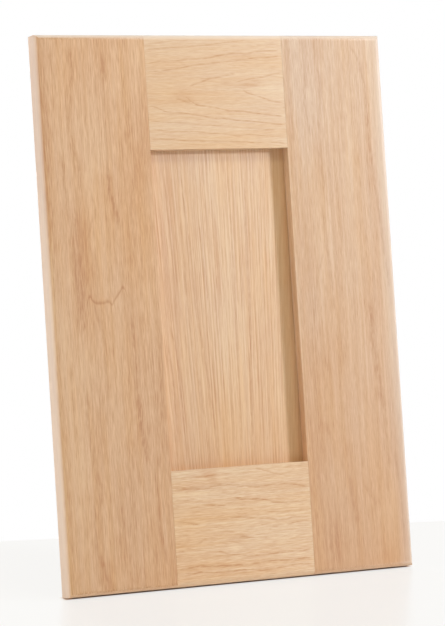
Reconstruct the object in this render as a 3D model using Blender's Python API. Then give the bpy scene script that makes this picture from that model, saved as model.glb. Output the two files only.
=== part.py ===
"""A kitchen cabinet door: two stiles, two rails and a sunk panel, in oak.

The door stands upright in its own frame. X runs across the front, from the hinge stile to the
handle stile. Y runs from the front face to the back. Z runs up. The origin is in the middle of
the bottom edge. All sizes are in metres.
"""

import math

import bmesh
import bpy
from mathutils import Matrix, Vector

# The whole door
DOOR_WIDTH = 0.397
DOOR_HEIGHT = 0.570
DOOR_THICKNESS = 0.022
FRONT_ROUND = 0.0065
BACK_EASE = 0.002

# The frame
STILE_WIDTH = 0.1195
TOP_RAIL_WIDTH = 0.1195
BOTTOM_RAIL_WIDTH = 0.1195
GROOVE_DEPTH = 0.010
TONGUE_END_GAP = 0.0005

# The panel
PANEL_THICKNESS = 0.006
PANEL_EDGE_GAP = 0.0005
BACK_RECESS = 0.004

# The dowels across each corner joint
DOWEL_DIAMETER = 0.006
DOWEL_LENGTH = 0.040
DOWEL_MARGIN = 0.028
DOWEL_CHAMFER = 0.0008
DOWEL_FLUTE_DEPTH = 0.00025
DOWEL_FLUTES = 12
DOWEL_END_GAP = 0.0005

# The bores for the concealed hinges
BORE_DIAMETER = 0.035
BORE_DEPTH = 0.013
BORE_MARGIN = 0.005
BORE_FROM_END = 0.100

# The gap that glued or seated faces keep between them
FIT = 0.0003

# How finely round shapes are divided
ROUND_SEGMENTS = 10
EASE_SEGMENTS = 4
BORE_SEGMENTS = 64
HOLE_SEGMENTS = 24
STEPS_PER_FLUTE = 4
SHARP_ANGLE = math.radians(40)

# How far a blank or a cutter runs past what it meets
OVERRUN = 0.005

# Places that follow from the sizes
LEFT, RIGHT = -DOOR_WIDTH / 2, DOOR_WIDTH / 2
FRONT, BACK = -DOOR_THICKNESS / 2, DOOR_THICKNESS / 2
BOTTOM, TOP = 0.0, DOOR_HEIGHT
OPENING_LEFT, OPENING_RIGHT = LEFT + STILE_WIDTH, RIGHT - STILE_WIDTH
OPENING_BOTTOM, OPENING_TOP = BOTTOM + BOTTOM_RAIL_WIDTH, TOP - TOP_RAIL_WIDTH
PANEL_BACK = BACK - BACK_RECESS
PANEL_FRONT = PANEL_BACK - PANEL_THICKNESS
GROOVE_FRONT, GROOVE_BACK = PANEL_FRONT - FIT, PANEL_BACK + FIT
DOWEL_AXIS = (FRONT + GROOVE_FRONT) / 2

# Colours of the raw timbers: red, green, blue and roughness
HEARTWOOD = (0.62, 0.42, 0.25, 0.50)
PINK_HEARTWOOD = (0.66, 0.44, 0.29, 0.50)
PALE_OAK = (0.68, 0.48, 0.28, 0.48)
STRAW_OAK = (0.64, 0.45, 0.26, 0.48)
OAK_VENEER = (0.60, 0.41, 0.23, 0.46)
BEECH = (0.70, 0.50, 0.36, 0.60)


def clear_scene():
    """Remove every object that the file holds."""
    for item in list(bpy.data.objects):
        bpy.data.objects.remove(item, do_unlink=True)


def new_collection(name):
    """Add a collection to the scene."""
    group = bpy.data.collections.new(name)
    bpy.context.scene.collection.children.link(group)
    return group


def move_to(item, group):
    """Take an object out of its collections and put it in one."""
    for old in list(item.users_collection):
        old.objects.unlink(item)
    group.objects.link(item)


def timber(name, finish):
    """Make a plain wood material from a colour and a roughness."""
    material = bpy.data.materials.new(name)
    material.use_nodes = True
    shader = material.node_tree.nodes["Principled BSDF"]
    *colour, roughness = finish
    shader.inputs["Base Color"].default_value = (*colour, 1.0)
    shader.inputs["Roughness"].default_value = roughness
    shader.inputs["Metallic"].default_value = 0.0
    return material


def block(name, low, high, group):
    """Add a box between two corners, with its origin in its middle."""
    low, high = Vector(low), Vector(high)
    bpy.ops.mesh.primitive_cube_add(size=1.0, location=(low + high) / 2)
    item = bpy.context.object
    item.name = name
    item.data.name = name
    item.data.transform(Matrix.Diagonal((*(high - low), 1.0)))
    move_to(item, group)
    return item


def drill(name, start, end, diameter, segments, group):
    """Add a cylinder between two points on one axis, to cut a hole."""
    start, end = Vector(start), Vector(end)
    along = end - start
    turn = Vector((0, 0, 1)).rotation_difference(along).to_euler()
    bpy.ops.mesh.primitive_cylinder_add(
        vertices=segments, radius=diameter / 2, depth=along.length,
        location=(start + end) / 2, rotation=turn)
    item = bpy.context.object
    item.name = name
    item.data.name = name
    shade_round(item)
    move_to(item, group)
    return item


def shade_round(item):
    """Shade an object smooth but for its sharp edges."""
    item.data.shade_smooth()
    item.data.set_sharp_from_angle(angle=SHARP_ANGLE)


def round_rim(item, side, radius, segments):
    """Round the four edges of a box that lie on its front or back face."""
    shape = bmesh.new()
    shape.from_mesh(item.data)
    face = max(shape.faces, key=lambda each: each.normal.y * side)
    bmesh.ops.bevel(
        shape, geom=list(face.edges), offset=radius, offset_type="OFFSET",
        segments=segments, profile=0.5, affect="EDGES", clamp_overlap=True)
    shape.to_mesh(item.data)
    shape.free()


def hide_cutter(item):
    """Show a cutter as wire, and keep it out of renders."""
    item.hide_render = True
    item.display_type = "WIRE"


def boolean(item, tool, operation):
    """Cut or trim an object with another, as a live modifier."""
    hide_cutter(tool)
    step = item.modifiers.new(tool.name, "BOOLEAN")
    step.operation = operation
    step.object = tool
    step.solver = "EXACT"


def door_outline(cutters):
    """The outside of the glued door, with its rims run round with a cutter."""
    outline = block("door_outline", (LEFT, FRONT, BOTTOM), (RIGHT, BACK, TOP), cutters)
    round_rim(outline, -1, FRONT_ROUND, ROUND_SEGMENTS)
    round_rim(outline, 1, BACK_EASE, EASE_SEGMENTS)
    shade_round(outline)
    return outline


def joint_heights(end):
    """The heights of the two dowels in a corner, outer one first."""
    if end == "top":
        return TOP - DOWEL_MARGIN, OPENING_TOP + GROOVE_DEPTH + DOWEL_MARGIN
    return BOTTOM + DOWEL_MARGIN, OPENING_BOTTOM - GROOVE_DEPTH - DOWEL_MARGIN


def dowel_holes(end, side, cutters):
    """Two drills across one corner joint. They cut the stile and the rail alike."""
    joint = OPENING_LEFT if side == "left" else OPENING_RIGHT
    reach = DOWEL_LENGTH / 2 + DOWEL_END_GAP
    drills = []
    for place, height in zip(("outer", "inner"), joint_heights(end)):
        name = f"drill_{end}_{side}_{place}"
        start = (joint - reach, DOWEL_AXIS, height)
        finish = (joint + reach, DOWEL_AXIS, height)
        hole = drill(name, start, finish, DOWEL_DIAMETER + 2 * FIT, HOLE_SEGMENTS, cutters)
        drills.append(hole)
    return drills


def hinge_bores(cutters):
    """Two blind bores on the back of the left stile, one near each end."""
    across = LEFT + BORE_MARGIN + BORE_DIAMETER / 2
    floor = BACK - BORE_DEPTH
    bores = []
    for place, height in (("lower", BOTTOM + BORE_FROM_END), ("upper", TOP - BORE_FROM_END)):
        start = (across, floor, height)
        finish = (across, BACK + OVERRUN, height)
        name = f"hinge_bore_{place}"
        bores.append(drill(name, start, finish, BORE_DIAMETER, BORE_SEGMENTS, cutters))
    return bores


def stile(side, outline, holes, finish, parts, cutters):
    """A full-height upright, grooved from end to end on its inner edge."""
    outer, inner = (LEFT, OPENING_LEFT) if side == "left" else (RIGHT, OPENING_RIGHT)
    outward = math.copysign(1, outer)
    outer += outward * OVERRUN
    groove_floor = inner + outward * GROOVE_DEPTH
    groove_mouth = inner - outward * OVERRUN
    blank = block(
        f"{side}_stile",
        (min(outer, inner), FRONT - OVERRUN, BOTTOM - OVERRUN),
        (max(outer, inner), BACK + OVERRUN, TOP + OVERRUN), parts)
    groove = block(
        f"groove_{side}_stile",
        (min(groove_floor, groove_mouth), GROOVE_FRONT, BOTTOM - OVERRUN),
        (max(groove_floor, groove_mouth), GROOVE_BACK, TOP + OVERRUN), cutters)
    boolean(blank, outline, "INTERSECT")
    boolean(blank, groove, "DIFFERENCE")
    for hole in holes:
        boolean(blank, hole, "DIFFERENCE")
    blank.data.materials.append(timber(f"{side}_stile_oak", finish))
    return blank


def rail(end, outline, holes, finish, parts, cutters):
    """A cross rail, with a tongue on each end and a groove on its inner edge."""
    outer, inner = (TOP, OPENING_TOP) if end == "top" else (BOTTOM, OPENING_BOTTOM)
    outward = 1 if end == "top" else -1
    low = min(outer + outward * OVERRUN, inner)
    high = max(outer + outward * OVERRUN, inner)
    tongue = GROOVE_DEPTH - TONGUE_END_GAP
    blank = block(
        f"{end}_rail",
        (OPENING_LEFT - tongue, FRONT - OVERRUN, low),
        (OPENING_RIGHT + tongue, BACK + OVERRUN, high), parts)
    boolean(blank, outline, "INTERSECT")
    cheeks = (("front", FRONT - 2 * OVERRUN, PANEL_FRONT), ("back", PANEL_BACK, BACK + 2 * OVERRUN))
    shoulders = (
        ("left", OPENING_LEFT - tongue - OVERRUN, OPENING_LEFT + FIT),
        ("right", OPENING_RIGHT - FIT, OPENING_RIGHT + tongue + OVERRUN))
    for face, near, far in cheeks:
        for side, start, stop in shoulders:
            cheek = block(
                f"cheek_{end}_rail_{side}_{face}",
                (start, near, low - OVERRUN), (stop, far, high + OVERRUN), cutters)
            boolean(blank, cheek, "DIFFERENCE")
    groove_floor = inner + outward * GROOVE_DEPTH
    groove_mouth = inner - outward * OVERRUN
    groove = block(
        f"groove_{end}_rail",
        (LEFT, GROOVE_FRONT, min(groove_floor, groove_mouth)),
        (RIGHT, GROOVE_BACK, max(groove_floor, groove_mouth)), cutters)
    boolean(blank, groove, "DIFFERENCE")
    for hole in holes:
        boolean(blank, hole, "DIFFERENCE")
    blank.data.materials.append(timber(f"{end}_rail_oak", finish))
    return blank


def centre_panel(parts):
    """The flat sheet that sits in the frame's grooves."""
    reach = GROOVE_DEPTH - PANEL_EDGE_GAP
    panel = block(
        "centre_panel",
        (OPENING_LEFT - reach, PANEL_FRONT, OPENING_BOTTOM - reach),
        (OPENING_RIGHT + reach, PANEL_BACK, OPENING_TOP + reach), parts)
    panel.data.materials.append(timber("panel_oak_veneer", OAK_VENEER))
    return panel


def dowel_mesh():
    """A fluted pin along X, with a chamfer on each end."""
    shape = bmesh.new()
    turn = Matrix.Rotation(math.pi / 2, 4, "Y")
    bmesh.ops.create_cone(
        shape, cap_ends=True, segments=DOWEL_FLUTES * STEPS_PER_FLUTE,
        radius1=DOWEL_DIAMETER / 2, radius2=DOWEL_DIAMETER / 2, depth=DOWEL_LENGTH, matrix=turn)
    rims = [edge for edge in shape.edges if edge.verts[0].co.x * edge.verts[1].co.x > 0]
    bmesh.ops.bevel(
        shape, geom=rims, offset=DOWEL_CHAMFER, offset_type="OFFSET",
        segments=1, profile=0.5, affect="EDGES", clamp_overlap=True)
    for point in shape.verts:
        angle = math.atan2(point.co.z, point.co.y)
        flute = DOWEL_FLUTE_DEPTH * (1 - math.cos(DOWEL_FLUTES * angle)) / 2
        spread = math.hypot(point.co.y, point.co.z)
        point.co.y *= (spread - flute) / spread
        point.co.z *= (spread - flute) / spread
    mesh = bpy.data.meshes.new("dowel")
    shape.to_mesh(mesh)
    shape.free()
    mesh.shade_smooth()
    mesh.set_sharp_from_angle(angle=SHARP_ANGLE)
    mesh.materials.append(timber("dowel_beech", BEECH))
    return mesh


def dowels(parts):
    """Eight pins, two across each corner joint, half in the stile and half in the rail."""
    mesh = dowel_mesh()
    pins = []
    for end in ("top", "bottom"):
        for side, joint in (("left", OPENING_LEFT), ("right", OPENING_RIGHT)):
            for place, height in zip(("outer", "inner"), joint_heights(end)):
                pin = bpy.data.objects.new(f"dowel_{end}_{side}_{place}", mesh)
                pin.location = (joint, DOWEL_AXIS, height)
                parts.objects.link(pin)
                pins.append(pin)
    return pins


def build():
    """Make the whole door, with every piece under one empty."""
    clear_scene()
    parts = new_collection("kitchen_cabinet_door")
    cutters = new_collection("cutters")
    outline = door_outline(cutters)
    holes = {
        (end, side): dowel_holes(end, side, cutters)
        for end in ("top", "bottom") for side in ("left", "right")}
    left_holes = holes["top", "left"] + holes["bottom", "left"]
    right_holes = holes["top", "right"] + holes["bottom", "right"]
    top_holes = holes["top", "left"] + holes["top", "right"]
    bottom_holes = holes["bottom", "left"] + holes["bottom", "right"]
    pieces = [
        stile("left", outline, left_holes + hinge_bores(cutters), HEARTWOOD, parts, cutters),
        stile("right", outline, right_holes, PINK_HEARTWOOD, parts, cutters),
        rail("top", outline, top_holes, PALE_OAK, parts, cutters),
        rail("bottom", outline, bottom_holes, STRAW_OAK, parts, cutters),
        centre_panel(parts),
        *dowels(parts),
    ]
    door = bpy.data.objects.new("door", None)
    parts.objects.link(door)
    for piece in pieces:
        piece.parent = door


build()
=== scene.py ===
"""A kitchen cabinet door in pale oak, leaning back on a pale floor in soft studio light.

Lengths are in metres. Inside the wood's pattern they are in millimetres.
"""

import math

import bpy
from mathutils import Matrix, Vector


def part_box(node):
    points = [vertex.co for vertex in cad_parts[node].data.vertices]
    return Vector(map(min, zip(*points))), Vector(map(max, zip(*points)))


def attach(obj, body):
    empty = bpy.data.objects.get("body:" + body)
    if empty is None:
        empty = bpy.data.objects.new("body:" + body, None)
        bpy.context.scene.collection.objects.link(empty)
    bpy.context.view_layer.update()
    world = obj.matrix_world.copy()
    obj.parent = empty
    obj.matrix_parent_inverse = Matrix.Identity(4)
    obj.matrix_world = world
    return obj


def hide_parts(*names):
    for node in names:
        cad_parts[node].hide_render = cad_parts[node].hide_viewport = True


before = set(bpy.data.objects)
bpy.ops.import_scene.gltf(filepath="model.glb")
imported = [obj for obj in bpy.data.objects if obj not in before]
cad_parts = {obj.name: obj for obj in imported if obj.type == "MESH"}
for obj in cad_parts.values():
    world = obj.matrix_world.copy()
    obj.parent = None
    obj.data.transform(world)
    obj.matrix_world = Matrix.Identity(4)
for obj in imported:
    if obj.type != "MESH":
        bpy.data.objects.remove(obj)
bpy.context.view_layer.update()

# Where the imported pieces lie

LEFT, FRONT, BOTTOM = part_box("left_stile")[0]
RIGHT, BACK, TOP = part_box("right_stile")[1]
OPENING_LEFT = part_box("left_stile")[1].x
OPENING_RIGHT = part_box("right_stile")[0].x
PANEL_LOW, PANEL_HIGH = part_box("centre_panel")
TOP_RAIL_LOW, TOP_RAIL_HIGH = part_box("top_rail")
BOTTOM_RAIL_LOW, BOTTOM_RAIL_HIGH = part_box("bottom_rail")
OPENING_TOP, OPENING_BOTTOM = TOP_RAIL_LOW.z, BOTTOM_RAIL_HIGH.z

# The joiner's sizes, and how many flats make up each round

FRONT_ROUND, FRONT_ROUND_FLATS = 0.0065, 14
BACK_EASE, BACK_EASE_FLATS = 0.002, 6
ARRIS, ARRIS_FLATS = 0.00015, 2
JOINT_HAIRLINE = 0.00008
GROOVE_DEPTH = 0.010
SLACK = 0.0003
DOWEL_DRILL, DOWEL_DRILL_FLATS = 0.0066, 20
DOWEL_REACH = 0.0205
DOWEL_MARGIN = 0.028
BORE_DIAMETER, BORE_FLATS = 0.035, 96
BORE_DEPTH = 0.013
BORE_FROM_EDGE = 0.0225
BORE_FROM_END = 0.100
BORE_EASE, BORE_EASE_FLATS = 0.0003, 2
SMOOTH_ANGLE = math.radians(40)

GROOVE_FRONT = PANEL_LOW.y - SLACK
GROOVE_BACK = PANEL_HIGH.y + SLACK
DOWEL_AXIS = (FRONT + GROOVE_FRONT) / 2

# How far a cutter runs past the wood, and how close to a plane counts as on it

BEYOND = 0.02
NEAR = 1e-5


# Modelling


def make_active(piece):
    """Select one object and nothing else."""
    bpy.ops.object.select_all(action="DESELECT")
    piece.select_set(True)
    bpy.context.view_layer.objects.active = piece


def settle(name):
    """Name the object that was just added, and put its place in its mesh."""
    piece = bpy.context.object
    piece.name = name
    bpy.ops.object.transform_apply(location=True, rotation=True, scale=True)
    return piece


def block(name, low, high):
    """A box between two corners."""
    bpy.ops.object.select_all(action="DESELECT")
    low, high = Vector(low), Vector(high)
    bpy.ops.mesh.primitive_cube_add(size=1, location=(low + high) / 2, scale=high - low)
    return settle(name)


def pin(name, start, end, diameter, flats):
    """A round bar between two points."""
    bpy.ops.object.select_all(action="DESELECT")
    start, end = Vector(start), Vector(end)
    turn = Vector((0, 0, 1)).rotation_difference(end - start).to_euler()
    bpy.ops.mesh.primitive_cylinder_add(
        vertices=flats, radius=diameter / 2, depth=(end - start).length,
        location=(start + end) / 2, rotation=turn)
    return settle(name)


def select_edges(piece, wanted):
    """In edit mode, select the edges whose two ends pass a test."""
    make_active(piece)
    mesh = piece.data
    bpy.ops.object.mode_set(mode="EDIT")
    bpy.ops.mesh.select_mode(type="EDGE")
    bpy.ops.mesh.select_all(action="DESELECT")
    bpy.ops.object.mode_set(mode="OBJECT")
    for edge in mesh.edges:
        edge.select = all(wanted(mesh.vertices[index].co) for index in edge.vertices)
    bpy.ops.object.mode_set(mode="EDIT")


def ease(piece, wanted, size, flats):
    """Round the edges that pass a test."""
    select_edges(piece, wanted)
    bpy.ops.mesh.bevel(
        offset_type="OFFSET", offset=size, segments=flats, profile=0.5, affect="EDGES",
        clamp_overlap=True)
    bpy.ops.object.mode_set(mode="OBJECT")


def trim(piece, place, normal):
    """Saw a piece at a plane, throw away what lies on the normal's side and close the end."""
    make_active(piece)
    bpy.ops.object.mode_set(mode="EDIT")
    bpy.ops.mesh.select_all(action="SELECT")
    bpy.ops.mesh.bisect(plane_co=place, plane_no=normal, use_fill=True, clear_outer=True)
    bpy.ops.object.mode_set(mode="OBJECT")


def cut(piece, tool):
    """Cut one shape out of another, and throw the cutter away."""
    step = piece.modifiers.new(tool.name, "BOOLEAN")
    step.operation = "DIFFERENCE"
    step.solver = "EXACT"
    step.object = tool
    make_active(piece)
    bpy.ops.object.modifier_apply(modifier=step.name)
    bpy.data.objects.remove(tool, do_unlink=True)


def finish_surface(piece):
    """Smooth the rounds and keep the flats flat."""
    make_active(piece)
    bpy.ops.object.shade_smooth_by_angle(angle=SMOOTH_ANGLE)
    weigh = piece.modifiers.new("flat faces", "WEIGHTED_NORMAL")
    weigh.keep_sharp = True
    bpy.ops.object.modifier_apply(modifier=weigh.name)


def whole_door_blank(name):
    """A solid of the door's outside, with its front rim rounded and its back rim eased."""
    blank = block(name, (LEFT, FRONT, BOTTOM), (RIGHT, BACK, TOP))
    ease(blank, lambda spot: abs(spot.y - FRONT) < NEAR, FRONT_ROUND, FRONT_ROUND_FLATS)
    ease(blank, lambda spot: abs(spot.y - BACK) < NEAR, BACK_EASE, BACK_EASE_FLATS)
    return blank


def groove_span(inner_edge, outward):
    """The groove from its floor to past the board's inner edge, the lower one first."""
    return sorted((inner_edge + outward * GROOVE_DEPTH, inner_edge - outward * BEYOND))


def drill_for_dowels(piece, corner, joint):
    """Drill the two dowel holes of a top or bottom corner, right across the joint."""
    if corner == "top":
        heights = TOP - DOWEL_MARGIN, OPENING_TOP + GROOVE_DEPTH + DOWEL_MARGIN
    else:
        heights = BOTTOM + DOWEL_MARGIN, OPENING_BOTTOM - GROOVE_DEPTH - DOWEL_MARGIN
    for height in heights:
        drill = pin(
            "drill", (joint - DOWEL_REACH, DOWEL_AXIS, height),
            (joint + DOWEL_REACH, DOWEL_AXIS, height), DOWEL_DRILL, DOWEL_DRILL_FLATS)
        cut(piece, drill)


def bore_for_hinges(board):
    """Sink the two blind bores for hinge cups in the back, and ease their rims."""
    across = LEFT + BORE_FROM_EDGE
    for height in (BOTTOM + BORE_FROM_END, TOP - BORE_FROM_END):
        bore = pin(
            "bore", (across, BACK - BORE_DEPTH, height), (across, BACK + BEYOND, height),
            BORE_DIAMETER, BORE_FLATS)
        cut(board, bore)
        middle = Vector((across, BACK, height))
        ease(
            board,
            lambda spot: abs(spot.y - BACK) < NEAR
            and abs((spot - middle).length - BORE_DIAMETER / 2) < 10 * NEAR,
            BORE_EASE, BORE_EASE_FLATS)


def stile_board(name, joint, outward):
    """An upright of the frame, grooved down its inner edge and drilled for the dowels."""
    board = whole_door_blank(name)
    trim(board, (joint, 0, 0), (-outward, 0, 0))
    near, far = groove_span(joint, outward)
    cut(board, block(
        "groove", (near, GROOVE_FRONT, BOTTOM - BEYOND), (far, GROOVE_BACK, TOP + BEYOND)))
    for corner in ("top", "bottom"):
        drill_for_dowels(board, corner, joint)
    if outward < 0:
        bore_for_hinges(board)
    for face in (FRONT, BACK):
        ease(
            board, lambda spot: abs(spot.y - face) < NEAR and abs(spot.x - joint) < NEAR,
            ARRIS, ARRIS_FLATS)
    finish_surface(board)
    return board


def rail_board(name, low, high, corner, opening, outward):
    """A cross piece of the frame, with a tongue on each end and a groove for the panel."""
    board = whole_door_blank(name)
    trim(board, (low.x, 0, 0), (-1, 0, 0))
    trim(board, (high.x, 0, 0), (1, 0, 0))
    trim(board, (0, 0, opening), (0, 0, -outward))
    shoulders = (OPENING_LEFT + JOINT_HAIRLINE, OPENING_RIGHT - JOINT_HAIRLINE)
    cheeks = ((FRONT - BEYOND, PANEL_LOW.y), (PANEL_HIGH.y, BACK + BEYOND))
    for near, far in cheeks:
        for start, end in ((LEFT, shoulders[0]), (shoulders[1], RIGHT)):
            cut(board, block("cheek", (start, near, low.z - BEYOND), (end, far, high.z + BEYOND)))
    lower, upper = groove_span(opening, outward)
    cut(board, block("groove", (LEFT, GROOVE_FRONT, lower), (RIGHT, GROOVE_BACK, upper)))
    for joint in (OPENING_LEFT, OPENING_RIGHT):
        drill_for_dowels(board, corner, joint)
    for face in (FRONT, BACK):
        ease(
            board, lambda spot: abs(spot.y - face) < NEAR and abs(spot.z - opening) < NEAR,
            ARRIS, ARRIS_FLATS)
        for shoulder in shoulders:
            ease(
                board,
                lambda spot: abs(spot.y - face) < 2 * ARRIS and abs(spot.x - shoulder) < NEAR,
                ARRIS / 2, 1)
    finish_surface(board)
    return board


# Wood


class Value:
    """What comes out of a node. Sums on it add Math nodes."""

    def __init__(self, tree, socket):
        self.tree, self.socket = tree, socket

    def sum_of(self, operation, *terms):
        """A Math node on values and numbers."""
        node = self.tree.nodes.new("ShaderNodeMath")
        node.operation = operation
        for place, term in zip(node.inputs, terms):
            plug(self.tree, place, term)
        return Value(self.tree, node.outputs[0])

    def __add__(self, other):
        return self.sum_of("ADD", self, other)

    __radd__ = __add__

    def __sub__(self, other):
        return self.sum_of("SUBTRACT", self, other)

    def __rsub__(self, other):
        return self.sum_of("SUBTRACT", other, self)

    def __mul__(self, other):
        return self.sum_of("MULTIPLY", self, other)

    __rmul__ = __mul__

    def __truediv__(self, other):
        return self.sum_of("DIVIDE", self, other)

    def __rtruediv__(self, other):
        return self.sum_of("DIVIDE", other, self)

    def __pow__(self, other):
        return self.sum_of("POWER", self, other)

    def __rpow__(self, other):
        return self.sum_of("POWER", other, self)

    def __neg__(self):
        return self.sum_of("MULTIPLY", self, -1)

    def __abs__(self):
        return self.sum_of("ABSOLUTE", self)

    def most(self, other):
        """The larger of two values."""
        return self.sum_of("MAXIMUM", self, other)

    def whole(self):
        """The whole number below."""
        return self.sum_of("FLOOR", self)

    def part(self):
        """What is left above the whole number."""
        return self.sum_of("FRACT", self)

    def other(self, name):
        """Another output of the same node."""
        return Value(self.tree, self.socket.node.outputs[name])


def plug(tree, place, term):
    """Link a value to a socket, or write a constant on it."""
    if isinstance(term, Value):
        tree.links.new(term.socket, place)
    else:
        place.default_value = term


def set_points(node, points):
    """Give a float curve its points."""
    curve = node.mapping.curves[0]
    for _ in points[2:]:
        curve.points.new(0.5, 0.5)
    for spot, (x, y) in zip(curve.points, points):
        spot.location = (x, y)
    node.mapping.update()


class Finish:
    """The nodes of a material or of the surroundings."""

    def __init__(self, tree):
        self.tree = tree
        tree.nodes.clear()

    def node(self, kind, settings=None, sockets=None, out=0):
        """Add a node: its settings first, then the values or links of its sockets."""
        node = self.tree.nodes.new(kind)
        for name, value in (settings or {}).items():
            if name == "points":
                set_points(node, value)
            else:
                setattr(node, name, value)
        for name, term in (sockets or {}).items():
            plug(self.tree, node.inputs[name], term)
        return Value(self.tree, node.outputs[out]) if len(node.outputs) else None

    def place(self, x, y, z):
        """A vector from three numbers or values."""
        return self.node("ShaderNodeCombineXYZ", None, {"X": x, "Y": y, "Z": z})

    def noise(self, vector, detail=2.0, rough=0.5):
        """Soft noise from 0 to 1, about 0.5 on average, in grains of one unit."""
        return self.node(
            "ShaderNodeTexNoise", {"noise_dimensions": "3D"},
            {"Vector": vector, "Scale": 1.0, "Detail": detail, "Roughness": rough})

    def ramp(self, value, low, high, to_low=0.0, to_high=1.0, how="SMOOTHSTEP"):
        """Map a range of a value to another range, and hold the ends."""
        return self.node(
            "ShaderNodeMapRange", {"interpolation_type": how, "clamp": True},
            {"Value": value, "From Min": low, "From Max": high,
             "To Min": to_low, "To Max": to_high})

    def mix(self, factor, one, other, blend="MIX"):
        """Mix two colours."""
        return self.node(
            "ShaderNodeMix", {"data_type": "RGBA", "blend_type": blend, "clamp_factor": True},
            {0: factor, 6: one, 7: other}, out=2)

    def mix_shaders(self, factor, one, other):
        """Mix two surfaces."""
        return self.node("ShaderNodeMixShader", None, {0: factor, 1: one, 2: other})


def new_finish(name, kind=Finish, *about):
    """A material, and the nodes that it is built from."""
    material = bpy.data.materials.new(name)
    material.use_nodes = True
    return material, kind(material.node_tree, *about)


# Breadth across the grain and length along it of each kind of mark, in millimetres

DRIFT_SIZE = (40, 160)
RAGGED_SIZE = (7, 24)
SLOW_SIZE = (22, 200)
WARM_SIZE = (34, 150)
BREAK_SIZE = (1.5, 7.0)
DASH_SIZE = (1.1, 26.0)
BAND_SIZE = (4.5, 130.0)
LONG_FIBRE = 130.0
PORE_SIZE = (0.75, 12.0)
RING_STRAY_SIZE = (9.0, 160.0)
RING_BREAK_SIZE = (6.0, 70.0)

# How far a drawn line takes to fade in, along or across the grain, and how soft its outer side is

STROKE_FADE = {"Z": 14.0, "X": 6.0}
CROSS_FADE = 6.0
SOFT_SIDE = 1.6

# Steps between one pattern of noise and the next, and rings to keep the count above zero

STREAK_STEP = 7.31
CLOUD_STEP = 5.17
SPARE_RINGS = 80

# The height about which the panel's grain widens, and the lacquer

MIDDLE_HEIGHT = 285.0
BUMP_STRENGTH = 0.3
SHINE = 0.10


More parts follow.
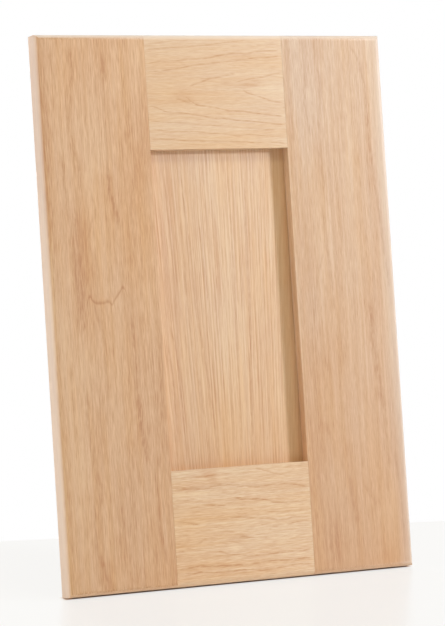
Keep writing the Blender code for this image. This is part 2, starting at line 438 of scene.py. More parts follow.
class Wood(Finish):
    """Wood with its grain along a board. Across, along and depth are in millimetres.

    Flow is across with the grain's slow bends. Wander and jagged are across and along with the
    small waves and frays that drawn marks follow, and broken is what breaks those marks up.
    """

    def __init__(self, tree, grain, seed):
        super().__init__(tree)
        self.seed = seed
        here = self.node("ShaderNodeTexCoord", out="Object")
        in_mm = self.node(
            "ShaderNodeMapping", None, {"Vector": here, "Scale": (1000.0, 1000.0, 1000.0)})
        x = self.node("ShaderNodeSeparateXYZ", None, {0: in_mm})
        self.depth, z = x.other("Y"), x.other("Z")
        self.across, self.along = (x, z) if grain == "Z" else (z, x)
        self.fade = STROKE_FADE[grain]
        self.flow = self.wander = self.across
        self.jagged = self.along
        self.broken = 1.0

    def streaks(self, breadth, length, number, detail=2.0, rough=0.5):
        """Noise drawn out along the grain, about zero on average."""
        shift = self.seed + number * STREAK_STEP
        return self.noise(
            self.place(self.flow / breadth, self.depth / breadth, self.along / length + shift),
            detail, rough) - 0.5

    def clouds(self, breadth, length, number):
        """The same on the bare board, without the grain's bends."""
        shift = self.seed + number * CLOUD_STEP
        return self.noise(
            self.place(
                self.across / breadth, self.depth / breadth, self.along / length + shift)) - 0.5

    def curve(self, value, path):
        """A smooth line through (from, to) points, held beyond its ends."""
        start, end = path[0][0], path[-1][0]
        low = min(to for _, to in path) - 1
        high = max(to for _, to in path) + 1
        points = [((at - start) / (end - start), (to - low) / (high - low)) for at, to in path]
        share = self.ramp(value, start, end, how="LINEAR")
        drawn = self.node("ShaderNodeFloatCurve", {"points": points}, {"Value": share})
        return drawn * (high - low) + low

    def stroke(self, width, strength, path, crosswise=False, heart=0.0):
        """A dark line along a path, soft on the side away from the heart, with fading ends."""
        runs, aside, fade = self.jagged, self.wander, self.fade
        if crosswise:
            runs, aside, fade = self.wander, self.along, CROSS_FADE
        start, end = path[0][0], path[-1][0]
        fade = min(fade, (end - start) / 3)
        outward = 1 if path[len(path) // 2][1] > heart else -1
        aside = (aside - self.curve(runs, path)) * (outward / width)
        aside = (aside / SOFT_SIDE).most(-aside)
        line = 0.5 ** (aside * aside)
        ends = self.ramp(runs, start, start + fade) * self.ramp(runs, end, end - fade)
        if not crosswise:
            ends = ends * self.broken
        return line * ends * strength

    def patch(self, along, across, length, breadth, strength):
        """A soft oval, darker or lighter than what is round it."""
        far = (self.jagged - along) / length
        aside = (self.wander - across) / breadth
        return 0.5 ** (far * far + aside * aside) * strength

    def rings(self, look):
        """The growth rings: dark where one starts, then fading across it."""
        across = self.wander + (self.flow - self.across)
        aside = across - self.curve(self.jagged, look["heart"])
        radius = across
        if look["behind"]:
            into = self.depth - look["behind"]
            radius = (aside * aside + into * into) ** 0.5 - self.jagged * look["taper"]
        stray = self.streaks(*RING_STRAY_SIZE, 8) * look["stray"]
        ring = radius / look["ring"] + (stray + SPARE_RINGS)
        share = ring.part()
        mood = self.node(
            "ShaderNodeTexWhiteNoise", {"noise_dimensions": "1D"}, {"W": ring.whole()})
        line = self.ramp(share, 0.0, 0.6, 1.0, 0.0).most(self.ramp(share, 0.80, 1.0))
        broken = self.ramp(
            self.streaks(*RING_BREAK_SIZE, 4), -0.14, 0.10, look["broken"], 1.0)
        return line * (0.4 + mood * 0.6) * broken * self.ramp(abs(aside), *look["plain"])

    def facing(self):
        """Which way a face looks, as the three parts of its normal."""
        normal = self.node("ShaderNodeNewGeometry", out="Normal")
        return self.node("ShaderNodeSeparateXYZ", None, {0: normal})

    def surface(self, colour, roughness, height, depth):
        """The lacquered or bare surface, with its pores sunk to a depth in metres."""
        bump = self.node(
            "ShaderNodeBump", None,
            {"Strength": BUMP_STRENGTH, "Distance": depth, "Height": height})
        shader = self.node(
            "ShaderNodeBsdfPrincipled", None,
            {"Base Color": colour, "Roughness": roughness, "Specular IOR Level": SHINE,
             "Normal": bump})
        self.node("ShaderNodeOutputMaterial", None, {"Surface": shader})


STILE_SHADE = (0.60, 0.35, 0.24, 1)
RAIL_SHADE = (0.62, 0.29, 0.13, 1)
PANEL_SHADE = (0.60, 0.29, 0.19, 1)
FULL_WARMTH = (0.99, 0.91, 0.79, 1)
# Painted highlights and sheen on the top, left and right rims
PAINTED_TOP_HIGHLIGHT = (0.95, 0.84, 0.74, 1)
PAINTED_LEFT_SHEEN = (0.84, 0.73, 0.68, 1)
PAINTED_RIGHT_SHEEN = (0.72, 0.62, 0.51, 1)
# Painted light bounced up from the floor onto the undersides
PAINTED_FLOOR_BOUNCE = (0.92, 0.70, 0.49, 1)
# The painted shadow that the right stile casts on the panel, darker and warmer
PAINTED_STILE_SHADOW = (0.69, 0.42, 0.20, 1)
BEECH_PALE = (0.72, 0.53, 0.38, 1)
BEECH_DARK = (0.48, 0.29, 0.17, 1)


def oak(name, grain, seed, look):
    """Satin-lacquered oak. Each board's look holds its own figure."""
    material, wood = new_finish(name, Wood, grain, seed)
    heart = look["heart"]
    middle = heart[len(heart) // 2][1]
    wood.flow = wood.across + wood.clouds(*DRIFT_SIZE, 1) * look["drift"]
    if look["spread"]:
        spread = (wood.along - MIDDLE_HEIGHT) * look["spread"] + 1.0
        wood.flow = (wood.flow - middle) / spread + middle
    hairs = wood.streaks(*look["hair"], 1, 2.0, 0.6)
    wood.wander = wood.across + wood.clouds(*RAGGED_SIZE, 2) * look["ragged"]
    wood.jagged = wood.along + hairs * look["feather"]
    wood.broken = wood.ramp(wood.streaks(*BREAK_SIZE, 9, 1.0), -0.22, 0.12, 0.35, 1.25)

    # How dark it is: hairs, long fibres, rows of pores, bands, slow changes and rings
    lines = wood.streaks(look["spacing"], LONG_FIBRE, 6, 1.0, 0.6)
    dashes = wood.ramp(wood.streaks(*DASH_SIZE, 2, 1.0), 0.04, 0.2)
    bands = wood.streaks(*BAND_SIZE, 3)
    slow = wood.clouds(*SLOW_SIZE, 3)
    rings = wood.rings(look)
    breadth, length = PORE_SIZE
    cells = wood.node(
        "ShaderNodeTexVoronoi", {"feature": "F1"},
        {"Vector": wood.place(wood.flow / breadth, wood.depth / breadth, wood.along / length),
         "Scale": 1.0})
    pores = wood.ramp(cells, 0.14, 0.34, 1.0, 0.0)
    dark = (
        look["tone"] + hairs * look["hairs"] + lines * look["long"] + dashes * look["dashes"]
        + bands * look["bands"] + slow * look["slow"] + rings * look["rings"] + pores * 0.12)
    for mark in look["strokes"]:
        dark = dark + wood.stroke(*mark, heart=middle)
    for mark in look.get("cross_strokes", ()):
        dark = dark + wood.stroke(*mark, crosswise=True)
    for mark in look["patches"]:
        dark = dark + wood.patch(*mark)
    facing = wood.facing()
    end_grain = wood.ramp(abs(facing.other(grain)), 0.80, 0.98)
    dark = dark + end_grain * 0.18

    # What colour it is: from one end to the other, darkened, warmed, and with painted light laid
    # on
    # From one end to the other: the wood's colour with painted sheen that makes the upper or
    # right end paler
    start, end = look["light"]
    run = wood.ramp(wood.along, heart[0][0], heart[-1][0], how="LINEAR")
    tone = wood.mix(run, (*start, 1), (*end, 1))
    tone = wood.mix(dark, tone, look["shade"], "MULTIPLY")
    warm = wood.clouds(*WARM_SIZE, 4) * 2.0 + bands * 1.2 + 0.3
    tone = wood.mix(warm, tone, FULL_WARMTH, "MULTIPLY")
    # Painted highlights, sheen, floor bounce and shadow, laid on by the way a face looks or its
    # place across
    for measure, low, high, amount, colour in look["painted_light"]:
        place = wood.across if measure == "across" else facing.other(measure)
        tone = wood.mix(wood.ramp(place, low, high, 0.0, amount), tone, colour)
    wood.surface(
        tone, 0.34 + pores * 0.14 + dashes * 0.05 + end_grain * 0.12,
        -(pores + dashes * 0.3 + rings * 0.2), 0.00004)
    return material


def beech(name):
    """Bare beech with short flecks, for the dowels."""
    material, wood = new_finish(name, Wood, "X", 70.0)
    fine = wood.streaks(0.4, 12.0, 1, 2.0, 0.6)
    flecks = wood.ramp(wood.streaks(0.25, 1.6, 2, 1.0), 0.12, 0.22)
    dark = wood.ramp(fine, -0.2, 0.2, 0.0, 0.5) + flecks * 0.35
    wood.surface(
        wood.mix(dark, BEECH_PALE, BEECH_DARK), 0.62 + flecks * 0.1, fine - flecks * 0.5, 0.00005)
    return material


# The figure of each board, in millimetres from the door's middle and from its bottom edge
#
# light: the colour at the start and at the end of the board, partly the wood's and partly painted
# light
# shade: what full darkness multiplies that colour by
# painted_light: painted highlights, sheen, floor bounce and shadow: what is measured there (a
# part
#     of the normal, or across), from where to where, how much, and the colour
# tone: how dark the bare wood is; hairs, long, dashes, bands, slow, rings: how much each adds
# hair: breadth and length of a hair; spacing: breadth of a long fibre
# drift, ragged: how far the grain and the drawn marks stray; feather: how far hairs fray them
# spread: how much wider the grain gets with each millimetre up the board
# heart: the line that the rings lie round; behind: how deep it is, or 0 for straight grain
# ring, taper, stray, broken: a ring's breadth, how it narrows, strays and breaks up
# plain: how far from the heart the rings begin, and how far away they are at full strength
# strokes: width, strength, and path as (along, across); cross_strokes: path as (across, along)
# patches: along, across, half length, half breadth, strength

LEFT_STILE_LOOK = {
    "light": ((0.749, 0.520, 0.324), (0.786, 0.550, 0.348)),
    "shade": STILE_SHADE,
    # Painted sheen on the left side, painted highlight on the top rim, painted floor bounce
    # underneath
    "painted_light": (("X", -0.55, -1.0, 0.6, PAINTED_LEFT_SHEEN), ("Z", 0.0, 0.9, 0.75, PAINTED_TOP_HIGHLIGHT),
             ("Z", -0.35, -1.0, 0.6, PAINTED_FLOOR_BOUNCE)),
    "tone": 0.22, "hairs": 1.36, "long": 0.74, "spacing": 1.1, "dashes": 0.10, "bands": 0.30,
    "slow": 0.40, "rings": 0.08, "drift": 3.0, "ragged": 2.5, "feather": 16.0, "spread": 0.0,
    "hair": (0.65, 16.0), "stray": 0.9, "broken": 0.3,
    "heart": ((0, -143), (300, -140), (570, -138)), "behind": 62.0, "ring": 4.6,
    "taper": 0.03, "plain": (10.0, 36.0),
    "strokes": (
        (1.0, 0.19, ((128, -104.5), (167, -108.9), (201, -110.3), (229, -109.8), (257, -111.5),
         (285, -112.3))),
        (1.3, 0.14, ((173, -140.3), (221, -143.7), (251, -143.1), (271, -145.3), (285, -149.3),
         (299, -154.3))),
        (1.8, 0.29, ((368, -121), (383, -121.3), (400, -124.6), (419, -128.8), (435, -127.4))),
        (1.4, 0.22, ((517, -123.8), (540, -126.9), (554, -124.3))),
        (2.1, 0.20, ((405, -159.6), (419, -158.8), (447, -162.7), (481, -167.2), (509, -165.2),
         (534, -161), (565, -165.5))),
        (1.1, 0.17, ((358, -154.3), (377, -149.3), (393, -145.1), (404, -146.5), (417, -151.5))),
        (4.0, 0.14, ((260, -163.3), (285, -166.1), (313, -165.5), (341, -168.3), (369, -167.7),
         (397, -164.4))),
        (1.1, 0.15, ((369, -177.3), (414, -176.7), (439, -178.9), (459, -180.9))),
        (2.4, 0.14, ((383, -103.3), (419, -100.3), (447, -96.9), (461, -103.3), (481, -101.1),
         (499, -103.3))),
        (2.4, 0.17, ((123, -103.6), (148, -105.3), (173, -108.7), (204, -109.5))),
        (1.3, 0.15, ((83, -158.8), (103, -157.1), (125, -160.5), (151, -165.2), (173, -167.2),
         (204, -166.6), (226, -170.5))),
        (1.6, 0.24, ((5, -153.7), (26, -158.8), (47, -164.1))),
        (1.3, 0.22, ((6, -124.1), (15, -129.7), (25, -134.1))),
        (1.1, 0.15, ((6, -124.1), (19, -120.1), (36, -115.1), (72, -112.3))),
        (1.0, 0.17, ((520, -180.3), (548, -185.1), (565, -187.9))),
        (1.0, 0.12, ((145, -173.9), (201, -181.7), (257, -179.5), (319, -183.7))),
        (1.1, 0.14, ((19, -89.3), (89, -95.5), (145, -96.9))),
    ),
    "cross_strokes": (
        (1.1, 0.33, ((-167, 263), (-164, 274), (-161, 288), (-159, 297), (-156, 302),
         (-154, 298), (-152, 296), (-143, 295), (-136, 296), (-133, 293), (-130, 297),
         (-125, 303), (-122, 307), (-120, 310), (-116, 303), (-113, 289))),
    ),
    "patches": (
        (170, -186, 170, 15, -0.19), (490, -195.5, 110, 4.5, 0.34), (70, -88, 90, 14, 0.10),
        (240, -140, 170, 16, 0.06),
        (425, -142, 60, 9, -0.12), (335, -140, 32, 8, -0.10), (61, -140, 26, 7, 0.09),
        (9, -143, 10, 5, -0.10), (327, -168, 60, 8, 0.09), (453, -109, 50, 9, 0.04),
        (285, -84, 300, 4, 0.07), (285, -191, 400, 3, 0.04), (201, -124, 60, 14, -0.03),
        (190, -193, 60, 8, 0.10), (350, -158, 40, 9, 0.13), (18, -155, 14, 8, 0.20),
        (480, -92, 45, 9, 0.11), (300, -92, 30, 9, -0.11), (235, -166, 30, 7, -0.10),
        (110, -121, 40, 7, 0.09),
    ),
}

RIGHT_STILE_LOOK = {
    "light": ((0.700, 0.460, 0.277), (0.778, 0.618, 0.461)),
    "shade": STILE_SHADE,
    # Painted sheen on the right rim, painted highlight on the top rim, painted floor bounce
    # underneath
    "painted_light": (("across", 176.0, 200.0, 0.55, PAINTED_RIGHT_SHEEN), ("X", 0.0, 0.9, 0.7, PAINTED_RIGHT_SHEEN),
             ("Z", 0.0, 0.9, 0.62, PAINTED_TOP_HIGHLIGHT), ("Z", -0.35, -1.0, 0.6, PAINTED_FLOOR_BOUNCE)),
    "tone": 0.20, "hairs": 1.10, "long": 0.46, "spacing": 1.15, "dashes": 0.08, "bands": 0.36,
    "slow": 0.40, "rings": 0.06, "drift": 4.0, "ragged": 2.5, "feather": 16.0, "spread": 0.0,
    "hair": (0.58, 14.0), "stray": 0.9, "broken": 0.3,
    "heart": ((0, 130), (300, 122), (570, 118)), "behind": 62.0, "ring": 5.2,
    "taper": 0.03, "plain": (8.0, 34.0),
    "strokes": (
        (1.2, 0.15, ((456, 113.7), (466, 109.7), (478, 105.3), (495, 102.7), (515, 104.1),
         (533, 107.5), (541, 113.1))),
        (1.1, 0.14, ((456, 114.2), (478, 118.1), (499, 121.5), (517, 122.9), (534, 119.3),
         (541, 113.1))),
        (1.8, 0.12, ((397, 121.5), (417, 120.7), (433, 118.1), (453, 118.1))),
        (1.2, 0.22, ((291, 189.8), (324, 188.1), (358, 185.3), (394, 182), (428, 179.2),
         (453, 176.4), (481, 176.4), (506, 176.1), (523, 174.1), (540, 170.5), (554, 163.5),
         (564, 154.5))),
        (2.2, 0.22, ((162, 177.5), (173, 173.3), (193, 169.7), (221, 168.5), (243, 164.3),
         (263, 166), (289, 160.7))),
        (1.2, 0.20, ((272, 122.9), (305, 122.1), (327, 120.4), (352, 117.6), (386, 116.7))),
        (1.0, 0.15, ((260, 96.9), (285, 100.2), (316, 105.8), (327, 109.7), (344, 114.5))),
        (1.3, 0.06, ((453, 88.5), (509, 85.7), (565, 84.5))),
        (1.1, 0.10, ((201, 90.7), (285, 86.2), (327, 87.9))),
        (1.0, 0.10, ((324, 85.1), (355, 81.7))),
        (1.9, 0.15, ((209, 113.1), (218, 110.3), (235, 106.1))),
        (1.9, 0.14, ((204, 125.7), (229, 125.7), (257, 121.5))),
        (1.8, 0.17, ((134, 104.7), (142, 105.3), (162, 101.9))),
        (2.4, 0.14, ((6, 105.3), (33, 106.1), (61, 104.7))),
        (1.9, 0.14, ((44, 132.1), (67, 129.9), (106, 127.1))),
        (2.4, 0.14, ((53, 152.9), (72, 155.1), (92, 145.3), (95, 159.3), (100, 152.9))),
        (1.8, 0.14, ((61, 169.7), (78, 171.9), (106, 170.5))),
        (1.1, 0.17, ((16, 189.3), (78, 187.3), (128, 183.1))),
        (1.1, 0.14, ((181, 192.1), (229, 190.9), (257, 188.7))),
    ),
    "patches": (
        (285, 96, 300, 16, 0.02),
        (445, 172, 70, 6, 0.14), (531, 164, 60, 8, 0.07), (369, 115, 40, 4, -0.09),
        (285, 109, 50, 7, -0.06), (445, 152, 90, 8, -0.07), (251, 175, 30, 6, -0.07),
        (235, 180, 70, 5, 0.07), (212, 96, 60, 6, 0.05), (557, 126, 14, 12, 0.04),
        (53, 172, 30, 5, -0.10), (75, 178, 20, 5, -0.09), (548, 96, 20, 12, 0.03),
        (117, 183, 30, 6, 0.07), (506, 110, 36, 7, -0.04),
        (545, 116, 40, 14, 0.11), (450, 155, 70, 9, -0.11), (270, 84, 60, 5, -0.11),
        (250, 135, 80, 25, -0.05), (38, 111, 30, 10, 0.15), (60, 170, 50, 14, -0.08),
    ),
}

TOP_RAIL_LOOK = {
    "light": ((0.818, 0.628, 0.426), (0.836, 0.668, 0.474)),
    # Painted highlight on the top rim
    "shade": RAIL_SHADE, "painted_light": (("Z", 0.0, 0.9, 0.75, PAINTED_TOP_HIGHLIGHT),),
    "tone": 0.18, "hairs": 0.60, "long": 0.22, "spacing": 1.0, "dashes": 0.05, "bands": 0.12,
    "slow": 0.20, "rings": 0.04, "drift": 2.0, "ragged": 1.2, "feather": 6.0, "spread": 0.0,
    "hair": (0.62, 11.0), "stray": 0.9, "broken": 0.3,
    "heart": ((-90, 504), (0, 507), (90, 511)), "behind": 22.0, "ring": 5.0,
    "taper": 0.16, "plain": (8.0, 20.0),
    "strokes": (
        (0.45, 0.23, ((-78, 531.2), (-65, 531.9), (-47, 533.8), (-35, 536), (-21, 538.4),
         (-4, 540), (15, 541.5), (34, 543.8), (52, 545.6), (69, 546.5), (78, 548.5))),
        (0.52, 0.22, ((-78, 539), (-67, 541.5), (-48, 542.2), (-28, 544.4), (-8, 545.2),
         (6, 548.1), (22, 550.2), (39, 550.2), (53, 552.5), (69, 553.1), (78, 554.4))),
        (0.45, 0.20, ((-78, 554.4), (-65, 554.8), (-54, 556), (-37, 556.9), (-8, 559), (9, 561),
         (24, 562.8), (40, 563.8))),
        (0.45, 0.16, ((-78, 561), (-67, 561.2), (-55, 562.5), (-41, 563.2), (-27, 564.2))),
        (0.52, 0.17, ((46, 558.1), (59, 559.4), (69, 560), (78, 561.5))),
        (0.65, 0.23, ((-32, 515), (-25, 517.8), (-18, 520), (-8, 523.1), (2, 525.2),
         (15, 527.8), (24, 529))),
        (0.45, 0.28, ((-37, 510), (-36, 506.2), (-32, 502.5), (-27, 498.8), (-22, 496.5),
         (-8, 494.6), (2, 492.8), (12, 490.4), (32, 489), (42, 487.8), (52, 486), (65, 485),
         (78, 483))),
        (0.45, 0.28, ((-78, 495.6), (-72, 495), (-66, 493.1), (-60, 490.4), (-54, 489.2),
         (-41, 488.5), (-28, 486.5), (-18, 485), (-8, 483.5), (6, 482.2), (24, 480),
         (36, 479.2), (49, 478), (63, 476), (78, 474.8))),
        (0.85, 0.14, ((-48, 505), (-41, 501.9), (-35, 500), (-26, 496.5))),
        (0.65, 0.20, ((22, 519.4), (28, 521), (38, 523.1), (48, 524.4), (56, 525.6),
         (65, 527.5), (78, 529.4))),
        (0.52, 0.22, ((29, 515), (34, 510), (45, 506.2), (54, 503.5), (62, 500.6), (70, 499.4),
         (78, 498.5))),
        (0.45, 0.17, ((-78, 471.9), (-67, 471.2), (-61, 469.8), (-44, 469.2), (-26, 468.8),
         (-12, 467.2), (5, 466.5), (22, 464.2), (34, 465), (50, 463.5), (78, 461.2))),
        (0.45, 0.25, ((-78, 461.9), (-67, 461.6), (-58, 461.2), (-44, 460.2), (-26, 459.4),
         (-8, 458.8), (9, 458), (28, 457.2), (43, 456.5), (62, 456.2), (78, 455))),
        (0.45, 0.16, ((-78, 479.8), (-66, 479.4), (-54, 478.5), (-37, 477.5), (-8, 475),
         (9, 474), (29, 472.2), (46, 471), (69, 468.8))),
        (0.39, 0.09, ((-42, 483.8), (-20, 481.5), (2, 478.8))),
        (0.39, 0.04, ((-22, 539.4), (-8, 538.8), (9, 535))),
        (0.39, 0.10, ((-72, 548.1), (-62, 548.8))),
        (0.45, 0.13, ((39, 531.9), (45, 531.5))),
    ),
    "patches": (
        (14, 519, 9, 2.2, 0.12), (16, 515, 10, 4, 0.07), (42, 517, 7, 2.2, 0.21),
        (34, 515, 7, 2.6, 0.11), (48, 521, 5, 2, 0.14), (-56, 466, 40, 2.2, 0.07),
        (-38, 506, 8, 4.5, 0.13), (34, 548, 24, 2.2, 0.06), (-60, 507, 8, 5, -0.05),
        (65, 511, 14, 5, -0.04), (-8, 510, 14, 3, 0.03), (-60, 456, 14, 2, -0.04),
    ),
}

BOTTOM_RAIL_LOOK = {
    "light": ((0.828, 0.640, 0.430), (0.848, 0.670, 0.456)),
    # Painted floor bounce on the underside
    "shade": RAIL_SHADE, "painted_light": (("Z", -0.35, -1.0, 0.6, PAINTED_FLOOR_BOUNCE),),
    "tone": 0.22, "hairs": 1.0, "long": 0.40, "spacing": 1.1, "dashes": 0.10, "bands": 0.20,
    "slow": 0.20, "rings": 0.06, "drift": 3.0, "ragged": 1.6, "feather": 8.0, "spread": 0.0,
    "hair": (0.62, 11.0), "stray": 0.9, "broken": 0.3,
    "heart": ((-90, 60), (0, 58), (90, 55)), "behind": 24.0, "ring": 6.0,
    "taper": 0.04, "plain": (8.0, 24.0),
    "strokes": (
        (0.72, 0.23, ((-78, 100.5), (-68, 100.5), (-56, 100.2), (-44, 99), (-26, 101.5),
         (-14, 101.5), (2, 99.2), (16, 97.1), (30, 97.5), (42, 98.4), (54, 96.8), (65, 95.5),
         (78, 89.6))),
        (0.54, 0.30, ((-48, 82.8), (-38, 82), (-28, 80.9), (-17, 79.2))),
        (0.60, 0.20, ((-78, 89), (-68, 89), (-56, 86.8))),
        (0.60, 0.27, ((-11, 88.4), (-1, 85.9), (12, 84.6), (22, 83.8), (30, 81.8), (38, 79.6),
         (53, 78.4), (65, 78.4), (78, 78.4))),
        (0.48, 0.20, ((-11, 76.5), (2, 75), (14, 75))),
        (0.48, 0.23, ((24, 70.9), (39, 69.2), (54, 68.8), (69, 68.4), (78, 68.4))),
        (0.54, 0.30, ((-78, 66.8), (-71, 67.1), (-65, 65.5), (-57, 63.8), (-48, 61.5))),
        (0.54, 0.23, ((-37, 65.9), (-18, 66.2), (-4, 66.8), (6, 65.9), (18, 64), (32, 62.5),
         (46, 60.5), (59, 62.5), (70, 61.8), (78, 62.8))),
        (0.78, 0.20, ((-78, 56.5), (-71, 53.8), (-60, 52.5))),
        (0.54, 0.24, ((-55, 45.2), (-51, 44.6), (-47, 47.1), (-41, 48.2))),
        (0.54, 0.23, ((18, 59), (25, 55.9), (34, 54.6), (43, 54.6))),
        (0.60, 0.23, ((46, 55.5), (54, 56.1), (64, 57.8), (78, 57.1))),
        (0.48, 0.16, ((-28, 52.8), (-18, 53.4), (-8, 52.1))),
        (0.48, 0.20, ((-8, 46.5), (-1, 46.8), (6, 45.5), (19, 44), (30, 44))),
        (0.54, 0.19, ((-78, 37.8), (-68, 37.1))),
        (0.60, 0.24, ((-38, 35), (-28, 32.8), (-14, 29.2), (-6, 28.8), (4, 25.9), (19, 26.2),
         (34, 26.8), (50, 27.1), (64, 27.1), (78, 28))),
        (0.66, 0.30, ((-78, 19), (-66, 19.6), (-54, 20.2), (-41, 19.6), (-26, 19), (-8, 17.5),
         (9, 17.5), (24, 19), (35, 19), (54, 18.4), (69, 19), (78, 19.6))),
        (0.60, 0.27, ((-74, 12.5), (-60, 13), (-50, 13.8), (-37, 12.8), (-18, 12.1), (-1, 12.8),
         (16, 11.2), (34, 11.5), (54, 13), (66, 12.8), (78, 12.1))),
        (0.60, 0.19, ((14, 117.1), (22, 115.2), (29, 112.8), (39, 109.6), (55, 106.1))),
        (0.48, 0.19, ((-58, 111.8), (-42, 111.5), (-26, 114))),
        (0.48, 0.15, ((-56, 32.8), (-48, 33.4))),
        (0.48, 0.15, ((28, 53), (32, 51.5))),
    ),
    "patches": (
        (-35, 111, 7, 5, 0.16), (-37, 116, 9, 3, 0.07), (-2, 47, 6, 2.0, 0.20),
        (-14, 45, 12, 4.5, 0.09), (-10, 43, 8, 3, 0.06), (-61, 100, 9, 2, 0.11),
        (-66, 101, 22, 2.4, 0.04), (44, 94, 26, 4, 0.06), (63, 94, 18, 4, 0.04),
        (-60, 94, 20, 3, -0.15), (-11, 35, 7, 3.5, -0.12), (-71, 96, 14, 2, -0.08),
        (46, 73, 20, 2, -0.11), (-41, 49, 30, 8, 0.03), (34, 44, 20, 6, -0.04),
    ),
}

PANEL_LOOK = {
    "light": ((0.796, 0.572, 0.360), (0.838, 0.647, 0.450)),
    # Painted shadow of the right stile across the panel's right side
    "shade": PANEL_SHADE, "painted_light": (("across", 58.0, 70.0, 0.45, PAINTED_STILE_SHADOW),),
    "tone": 0.14, "hairs": 0.65, "long": 1.1, "spacing": 0.95, "dashes": 0.06, "bands": 0.12,
    "slow": 0.12, "rings": 0.26, "drift": 1.4, "ragged": 1.2, "feather": 16.0, "spread": 0.0006,
    "hair": (0.75, 20.0), "stray": 0.8, "broken": 0.4,
    "heart": ((110, -0.5), (285, -5), (460, -9)), "behind": 0, "ring": 3.8,
    "taper": 0.0, "plain": (-1.0, 0.0),
    "strokes": (
        (0.8, 0.17, ((120, -17.7), (183, -21.8), (233, -26.8), (283, -31.8), (333, -34.8),
         (380, -37.7), (433, -41.5), (450, -41))),
        (0.9, 0.15, ((120, -28.5), (183, -31.8), (237, -39.3), (287, -42.7), (350, -43.5),
         (400, -45.2))),
        (0.9, 0.15, ((120, 7.8), (217, 9.8), (283, 11.5), (333, 12.8), (383, 12.3), (450, 13.2))),
        (0.9, 0.19, ((120, 21.5), (217, 24), (247, 26.8), (283, 28.2), (350, 29.8), (417, 31.5))),
        (0.7, 0.14, ((283, -16.8), (317, -20.2), (383, -24.3))),
        (0.8, 0.07, ((300, -7.7), (367, -6.8), (423, -5.2))),
        (0.8, 0.15, ((120, -53.5), (200, -56.8), (250, -60.2), (273, -68.5))),
        (0.8, 0.17, ((120, -65.2), (183, -64.3), (230, -66), (257, -71.8))),
    ),
    "patches": (
        (285, 2, 260, 13, -0.06),
        (395, -55, 60, 5, 0.09), (413, -54, 40, 6, 0.05), (267, -9, 90, 8, 0.02),
        (200, 16, 60, 3, -0.07), (400, 23, 40, 2.5, -0.10), (367, -40, 60, 2.5, -0.07),
        (283, 55, 300, 10, -0.02),
        (315, -58, 60, 5, 0.15), (435, 42, 20, 9, 0.08), (190, -58, 40, 6, 0.08),
    ),
}


def dress(piece, material):
    """Give a piece one material all over."""
    piece.data.materials.clear()
    piece.data.materials.append(material)


# The boards

boards = (
    (stile_board("left_stile_board", OPENING_LEFT, -1),
     "left_stile", "Z", 1.0, LEFT_STILE_LOOK),
    (stile_board("right_stile_board", OPENING_RIGHT, 1),
     "right_stile", "Z", 12.0, RIGHT_STILE_LOOK),
    (rail_board("top_rail_board", TOP_RAIL_LOW, TOP_RAIL_HIGH, "top", OPENING_TOP, 1),
     "top_rail", "X", 23.0, TOP_RAIL_LOOK),
    (rail_board(
        "bottom_rail_board", BOTTOM_RAIL_LOW, BOTTOM_RAIL_HIGH, "bottom", OPENING_BOTTOM, -1),
     "bottom_rail", "X", 34.0, BOTTOM_RAIL_LOOK),
)
for board, node, grain, seed, look in boards:
    slot = f"{node}_oak"
    dress(board, oak(slot, grain, seed, look))
    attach(board, "root")
    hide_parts(node)

dress(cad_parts["centre_panel"], oak("panel_oak_veneer", "Z", 45.0, PANEL_LOOK))
dowel_wood = beech("dowel_beech")
for name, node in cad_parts.items():
    if name.startswith("dowel_"):
        dress(node, dowel_wood)

# The floor. The real door leans back on its lower back edge. Here the door stays upright, and
# the floor falls away in front of it

LEAN = math.radians(8)
FLOOR_WIDTH, FLOOR_LENGTH = 7.0, 4.5
FLOOR_BACK = 0.50

# Where the paper ends behind the door, and the squares of how far off it fades into white

PAPER_END, PAPER_GONE, PAPER_SLANT = 0.300, 0.310, 0.21
FADE_START, FADE_END = 0.4, 1.2

# The strip under the door, painted brown as the shade and the wood's warm reflected light where
# it meets the floor

UNDER_MIDDLE, UNDER_HALF, UNDER_EDGE = 0.0045, 0.0050, 0.0080
UNDER_SIDE = (RIGHT - 0.002, RIGHT + 0.004)

PAPER_COLOUR = (0.94, 0.93, 0.92, 1)
PAPER_GLOW, GLOW_SHARE = (1.0, 0.992, 0.972, 1), 0.90
PAINTED_UNDER_SHADE = (0.86, 0.62, 0.44, 1)
SHEEN_SHARE, SHEEN_ROUGHNESS = 0.17, 0.22


def floor_plane():
    """A wide pale floor through the door's lower back edge."""
    bpy.ops.object.select_all(action="DESELECT")
    bpy.ops.mesh.primitive_plane_add(size=1)
    floor = bpy.context.object
    floor.name = "floor"
    floor.data.transform(Matrix.Diagonal((FLOOR_WIDTH, FLOOR_LENGTH, 1.0, 1.0)))
    hinge = Vector((0, BACK - BACK_EASE, 0))
    turn = Matrix.Rotation(LEAN, 4, "X")
    slide = Matrix.Translation((0, FLOOR_BACK - FLOOR_LENGTH / 2, 0))
    floor.data.transform(Matrix.Translation(hinge) @ turn @ slide)
    return floor


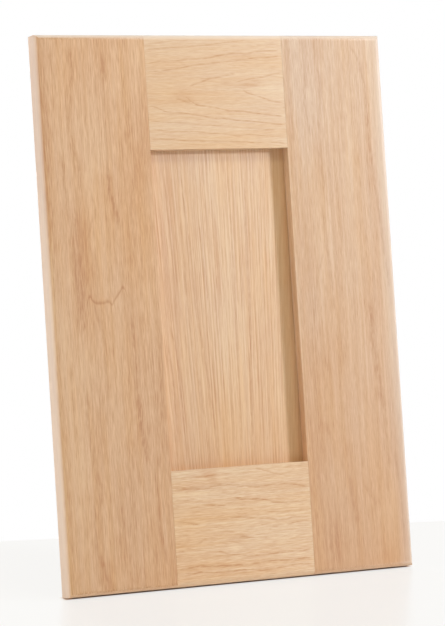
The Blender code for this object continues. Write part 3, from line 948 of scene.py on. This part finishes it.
def floor_finish():
    """Warm white paper with a faint sheen, which ends behind the door.

    To the camera it glows as evenly as paper in open light, and keeps a little of the shadow;
    under the door it is painted brown shade.
    """
    material, paper = new_finish("studio_paper")
    here = paper.node("ShaderNodeTexCoord", out="Object")
    x = paper.node("ShaderNodeSeparateXYZ", None, {0: here})
    y = x.other("Y")
    behind = paper.ramp(y + x * PAPER_SLANT, PAPER_END, PAPER_GONE)
    far = paper.ramp(x * x + y * y, FADE_START, FADE_END)
    before = paper.ramp(abs(y - UNDER_MIDDLE), UNDER_HALF, UNDER_EDGE)
    beside = paper.ramp(abs(x), *UNDER_SIDE)
    eye = paper.node("ShaderNodeLightPath", out="Is Camera Ray")
    matt = paper.node("ShaderNodeBsdfDiffuse", None, {"Color": PAPER_COLOUR})
    # Painted shade: brown paper under the door's front edge
    painted_shade = paper.node("ShaderNodeBsdfDiffuse", None, {"Color": PAINTED_UNDER_SHADE})
    glow = paper.node("ShaderNodeEmission", None, {"Color": PAPER_GLOW})
    sheen = paper.node("ShaderNodeBsdfGlossy", None, {"Roughness": SHEEN_ROUGHNESS})
    white = paper.node("ShaderNodeEmission")
    lit = paper.mix_shaders(eye * GLOW_SHARE, matt, glow)
    flat = paper.mix_shaders(before.most(beside), painted_shade, lit)
    near = paper.mix_shaders(SHEEN_SHARE, flat, sheen)
    both = paper.mix_shaders(eye * behind.most(far), near, white)
    paper.node("ShaderNodeOutputMaterial", None, {"Surface": both})
    return material


floor = floor_plane()
dress(floor, floor_finish())

# Light. Each lamp faces the middle of the door's front, and strength is the light that it casts
# there. The lines give its name, its way from that middle, distance, width, height, strength and
# tint

LAMPS = (
    ("key", (0.79, -0.57, 0.27), 2.2, 0.28, 0.20, 0.62, (0.96, 1.0, 1.16)),
    ("high_front", (0.15, -0.65, 0.75), 2.0, 0.9, 0.5, 0.268, (1.0, 0.94, 0.76)),
    ("overhead", (0.10, -0.30, 0.95), 1.8, 1.2, 0.7, 0.12, (1.0, 0.95, 0.82)),
    ("back", (-0.05, 0.95, 0.30), 2.0, 0.5, 0.9, 0.45, (1.0, 1.0, 1.0)),
    ("left", (-0.98, -0.05, 0.22), 2.0, 0.9, 1.2, 0.49, (1.0, 0.95, 0.84)),
)
MIDDLE = Vector((0, FRONT, TOP / 2))
SKY_COLOUR, SKY_STRENGTH = (1.0, 0.97, 0.91, 1), 0.15


def soft_box(name, way, distance, width, height, strength, tint):
    """A rectangular lamp that faces the middle of the door's front."""
    place = MIDDLE + distance * Vector(way)
    light = bpy.data.lights.new(name, "AREA")
    light.shape = "RECTANGLE"
    light.size, light.size_y = width, height
    light.color = tint
    light.energy = strength * math.pi * math.pi * (place - MIDDLE).length_squared
    lamp = bpy.data.objects.new(name, light)
    lamp.rotation_euler = (MIDDLE - place).to_track_quat("-Z", "Y").to_euler()
    lamp.location = place
    bpy.context.scene.collection.objects.link(lamp)


def surroundings():
    """Dim warm air for the wood, and plain white for the eye and for gloss."""
    world = bpy.data.worlds.new("studio")
    world.use_nodes = True
    bpy.context.scene.world = world
    air = Finish(world.node_tree)
    eye = air.node("ShaderNodeLightPath", out="Is Camera Ray")
    seen = eye.most(eye.other("Is Glossy Ray")).most(eye.other("Is Transmission Ray"))
    sky = air.node(
        "ShaderNodeBackground", None, {"Color": SKY_COLOUR, "Strength": SKY_STRENGTH})
    white = air.node("ShaderNodeBackground", None, {"Color": (1, 1, 1, 1), "Strength": 1.0})
    air.node("ShaderNodeOutputWorld", None, {"Surface": air.mix_shaders(seen, sky, white)})


for lamp in LAMPS:
    soft_box(*lamp)
surroundings()

# The camera

CAMERA_PLACE = (-1.17035, -2.45847, 0.18803)
TURN_RIGHT = math.radians(25.3827)
TILT_UP = math.radians(1.92872)
ROLL = math.radians(-3.65646)
LENS, SENSOR_WIDTH = 150.161, 36.0
SIGHT = 50.0

camera = bpy.data.objects.new("camera", bpy.data.cameras.new("camera"))
camera.data.lens = LENS
camera.data.sensor_width = SENSOR_WIDTH
camera.data.clip_end = SIGHT
camera.matrix_world = (
    Matrix.Translation(CAMERA_PLACE) @ Matrix.Rotation(-TURN_RIGHT, 4, "Z")
    @ Matrix.Rotation(math.radians(90) + TILT_UP, 4, "X") @ Matrix.Rotation(ROLL, 4, "Z"))
bpy.context.scene.collection.objects.link(camera)
bpy.context.scene.camera = camera
bpy.context.scene.view_settings.view_transform = "Standard"
